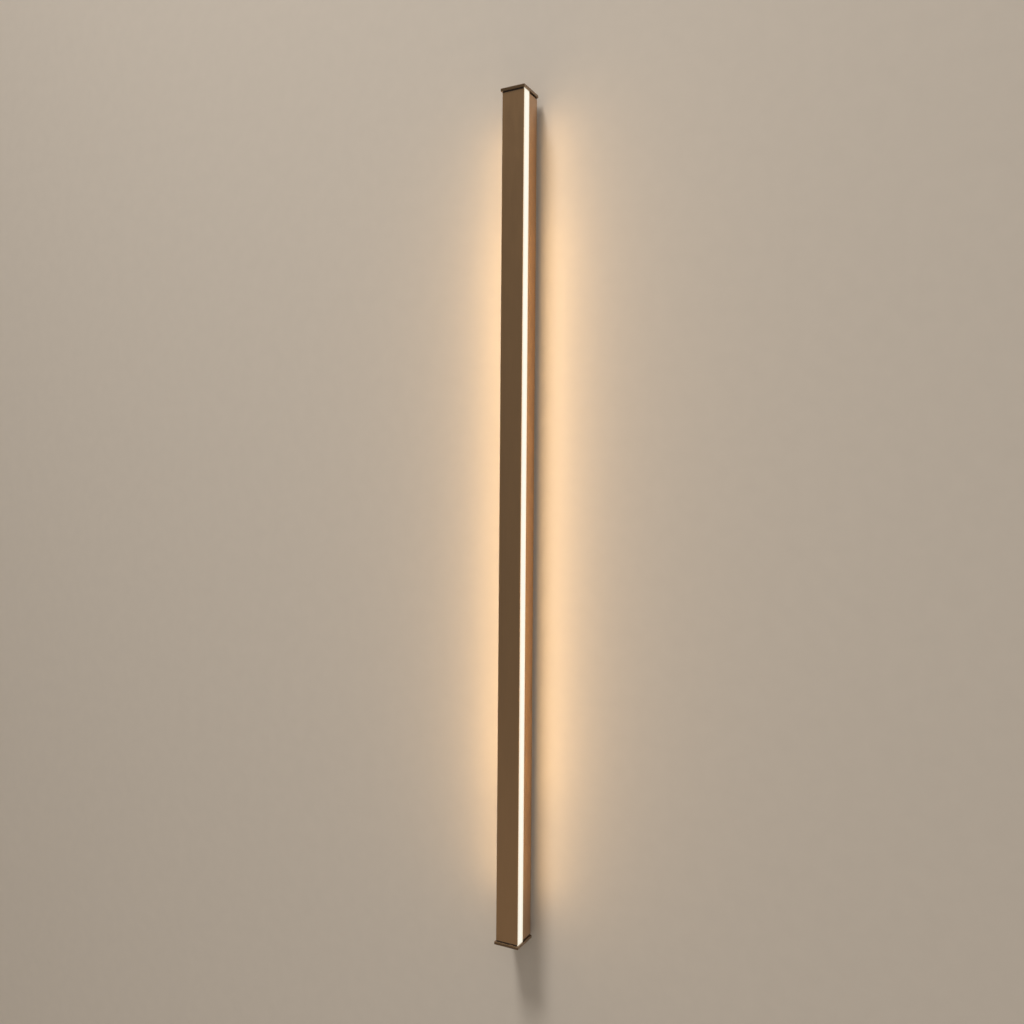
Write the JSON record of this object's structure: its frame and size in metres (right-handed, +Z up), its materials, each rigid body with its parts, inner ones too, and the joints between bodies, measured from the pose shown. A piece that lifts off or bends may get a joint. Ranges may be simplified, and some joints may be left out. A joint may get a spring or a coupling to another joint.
{
  "type": "vertical wall light",
  "caption": "Slim vertical wall light: a square bronze-brown aluminium profile on a hidden wall rail, with a lit opal strip along each side and thin end plates.",
  "frame": {"origin": "middle of the wall rail's back face, which lies on the wall", "axes": "+Y points into the wall, +Z up along the light, +X to the right for someone who faces the light"},
  "size_m": [0.0316, 0.042, 1],
  "materials": {
    "bronze_body": "satin",
    "bronze_plate": "satin",
    "gasket_black": "matte",
    "black_screw": "satin",
    "opal_strip": "satin",
    "board_white": "satin",
    "led_phosphor": "satin",
    "mill_aluminium": "satin",
    "spring_steel": "satin",
    "rivet_aluminium": "satin",
    "block_nylon": "matte",
    "zinc_screw": "satin",
    "driver_plastic": "matte",
    "circuit_green": "satin",
    "ferrite": "matte",
    "coil_tape": "satin",
    "capacitor_sleeve": "gloss",
    "terminal_plastic": "satin",
    "sleeve_brass": "satin",
    "brass_screw": "satin",
    "soft_black": "matte",
    "clamp_plastic": "satin",
    "tinned_copper": "satin",
    "wire_green": "satin",
    "wire_brown": "satin",
    "wire_blue": "satin",
    "wire_red": "satin",
    "wire_black": "satin",
    "connector_white": "satin"
  },
  "bodies": {
    "root": {"housing": "bronze_body", "end_cap_top": "bronze_plate", "end_cap_bottom": "bronze_plate", "gasket_top": "gasket_black", "gasket_bottom": "gasket_black", "end_cap_screws": "black_screw", "diffuser_left": "opal_strip", "diffuser_right": "opal_strip", "led_board_left": "board_white", "led_board_right": "board_white", "led_chips_left": "led_phosphor", "led_chips_right": "led_phosphor", "wall_rail": "mill_aluminium", "spring_clips": "spring_steel", "clip_rivets": "rivet_aluminium", "hanging_block": "block_nylon", "hanging_block_screw": "zinc_screw", "driver_case": "driver_plastic", "driver_cover": "driver_plastic", "driver_board": "circuit_green", "driver_core": "ferrite", "driver_coil": "coil_tape", "driver_capacitors": "capacitor_sleeve", "driver_screws": "zinc_screw", "terminal_block": "terminal_plastic", "terminal_sleeves": "sleeve_brass", "terminal_screws": "zinc_screw", "terminal_block_screws": "zinc_screw", "cable_bush": "soft_black", "cable_clamp": "clamp_plastic", "cable_clamp_screws": "zinc_screw", "earth_tags": "tinned_copper", "housing_earth_tag": "tinned_copper", "earth_screw": "brass_screw", "housing_earth_screw": "brass_screw", "earth_wire": "wire_green", "housing_earth_wire": "wire_green", "live_wire": "wire_brown", "neutral_wire": "wire_blue", "output_wire_red": "wire_red", "output_wire_black": "wire_black", "led_wires_red": "wire_red", "led_wires_black": "wire_black", "connector_plug": "connector_white", "connector_socket": "connector_white", "wire_grommets": "soft_black"}
  },
  "joints": []
}
